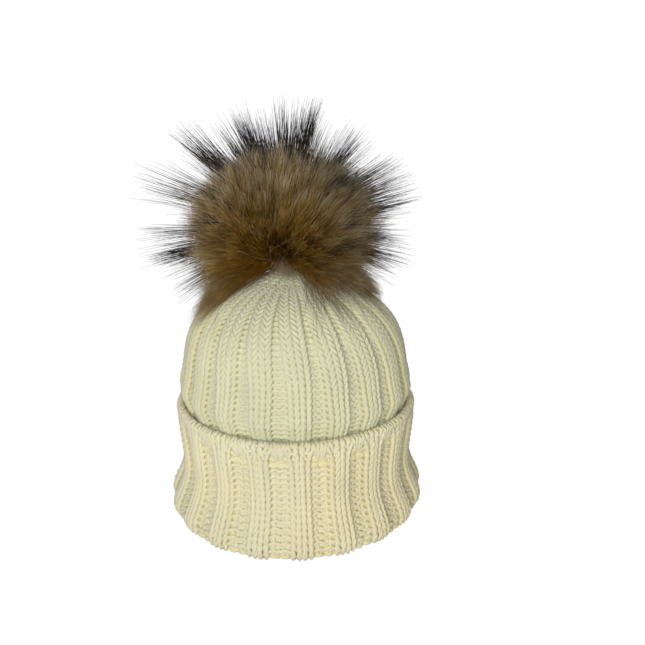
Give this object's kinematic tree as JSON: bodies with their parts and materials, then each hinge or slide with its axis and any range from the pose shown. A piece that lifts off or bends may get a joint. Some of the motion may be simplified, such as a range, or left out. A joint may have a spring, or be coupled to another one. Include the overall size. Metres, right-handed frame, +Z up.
{
  "type": "pom pom beanie",
  "caption": "Ribbed knitted winter hat with a deep turned-up cuff, a gathered crown and a fur pom pom that comes off on a press stud.",
  "frame": {"origin": "centre of the bottom rim, on the plane that the rim rests on", "axes": "+Z up along the hat's axis through the press stud and the pom; -Y is the front of the hat and +Y the back, where the seam and label are; +X is to the right seen from the front"},
  "size_m": [0.2078, 0.2048, 0.3],
  "materials": {
    "knit": "matte",
    "seam_yarn": "matte",
    "felt": "matte",
    "label": "satin",
    "thread": "matte",
    "snap_metal": "satin",
    "spring_wire": "polished",
    "pom_base": "matte",
    "pelt": "matte",
    "stuffing": "matte",
    "underfur": "matte",
    "guard_hair": "satin"
  },
  "bodies": {
    "hat": {"crown_knit": "knit", "back_seam_yarn": "seam_yarn", "crown_gather_yarn": "seam_yarn", "stud_backing": "felt"},
    "cuff": {"cuff_knit": "knit", "cuff_seam_yarn": "seam_yarn"},
    "label": {"care_label": "label"},
    "thread_shank": {"stud_thread": "thread"},
    "stud": {"press_stud": "snap_metal", "stud_stitches": "thread"},
    "spring_ring": {"socket_spring_ring": "spring_wire"},
    "pom": {"press_socket": "snap_metal", "socket_stitches": "thread", "pom_base": "pom_base", "pelt_gather_thread": "thread", "pelt_skin": "pelt", "pom_stuffing": "stuffing", "underfur": "underfur", "guard_hair_tufts": "guard_hair"}
  },
  "joints": [
    {"name": "cuff_turn_down", "type": "slide", "parent": "hat", "child": "cuff", "axis": [0, 0, -1], "range_m": [0, 0.072]},
    {"name": "label_flap", "type": "hinge", "parent": "hat", "child": "label", "pos_m": [0, 0.07575, 0.062], "axis": [-1, 0, 0], "range_deg": [0, 85]},
    {"name": "pom_nod", "type": "hinge", "parent": "hat", "child": "thread_shank", "pos_m": [0, 0, 0.1844], "axis": [1, 0, 0], "range_deg": [-8, 8], "stiffness_Nm_per_rad": 0.25},
    {"name": "pom_sway", "type": "hinge", "parent": "thread_shank", "child": "stud", "pos_m": [0, 0, 0.1844], "axis": [0, 1, 0], "range_deg": [-8, 8], "stiffness_Nm_per_rad": 0.25},
    {"name": "pom_lift", "type": "slide", "parent": "stud", "child": "spring_ring", "axis": [0, 0, 1], "range_m": [0, 0.06]},
    {"name": "pom_spin", "type": "hinge", "parent": "spring_ring", "child": "pom", "pos_m": [0, 0, 0.1908], "axis": [0, 0, 1], "continuous": true}
  ]
}
